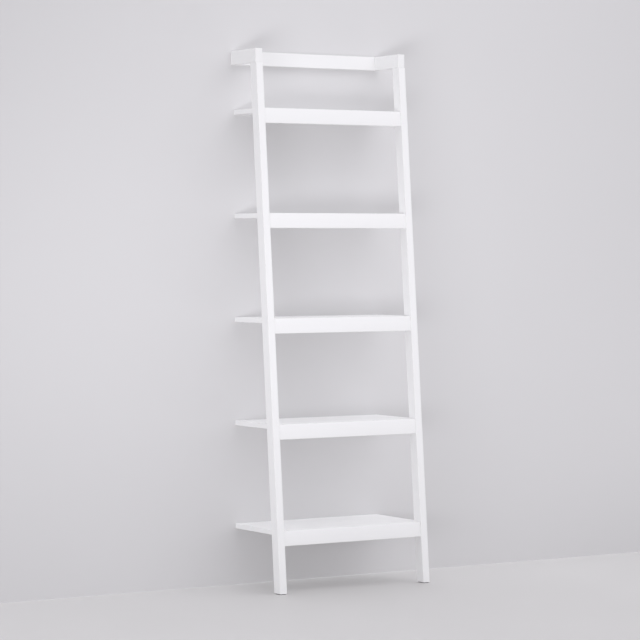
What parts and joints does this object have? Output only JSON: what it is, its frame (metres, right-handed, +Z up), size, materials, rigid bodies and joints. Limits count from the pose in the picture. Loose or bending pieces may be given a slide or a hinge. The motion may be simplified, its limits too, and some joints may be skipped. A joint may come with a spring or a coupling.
{
  "type": "ladder shelf",
  "caption": "Leaning ladder shelf in white lacquer: sloping stiles carry level shelves that grow deeper towards the floor, and a level top frame rests against the wall.",
  "frame": {"origin": "on the floor, midway across the width and midway between the front of the feet and the wall", "axes": "+X along the wall, to the right of someone who faces the shelf; +Y towards the wall; +Z up"},
  "size_m": [0.59, 0.315, 1.8],
  "materials": {
    "white_lacquer": "white satin lacquer on board",
    "beech": "bare turned beech",
    "zinc_steel": "bright zinc plate",
    "rubber": "matt, fine grained"
  },
  "bodies": {
    "root": {"arm_dowels": "beech", "corner_brace_1_left": "zinc_steel", "corner_brace_1_right": "zinc_steel", "corner_brace_2_left": "zinc_steel", "corner_brace_2_right": "zinc_steel", "corner_brace_3_left": "zinc_steel", "corner_brace_3_right": "zinc_steel", "corner_brace_4_left": "zinc_steel", "corner_brace_4_right": "zinc_steel", "front_rail_1": "white_lacquer", "front_rail_2": "white_lacquer", "front_rail_3": "white_lacquer", "front_rail_4": "white_lacquer", "front_rail_5": "white_lacquer", "left_arm": "white_lacquer", "left_foot_pad": "rubber", "left_stile": "white_lacquer", "rear_rail": "white_lacquer", "rear_rail_dowels": "beech", "right_arm": "white_lacquer", "right_foot_pad": "rubber", "right_stile": "white_lacquer", "shelf_panel_1": "white_lacquer", "shelf_panel_2": "white_lacquer", "shelf_panel_3": "white_lacquer", "shelf_panel_4": "white_lacquer", "shelf_panel_5": "white_lacquer", "wall_bracket_left": "zinc_steel", "wall_bracket_right": "zinc_steel"}
  },
  "joints": []
}
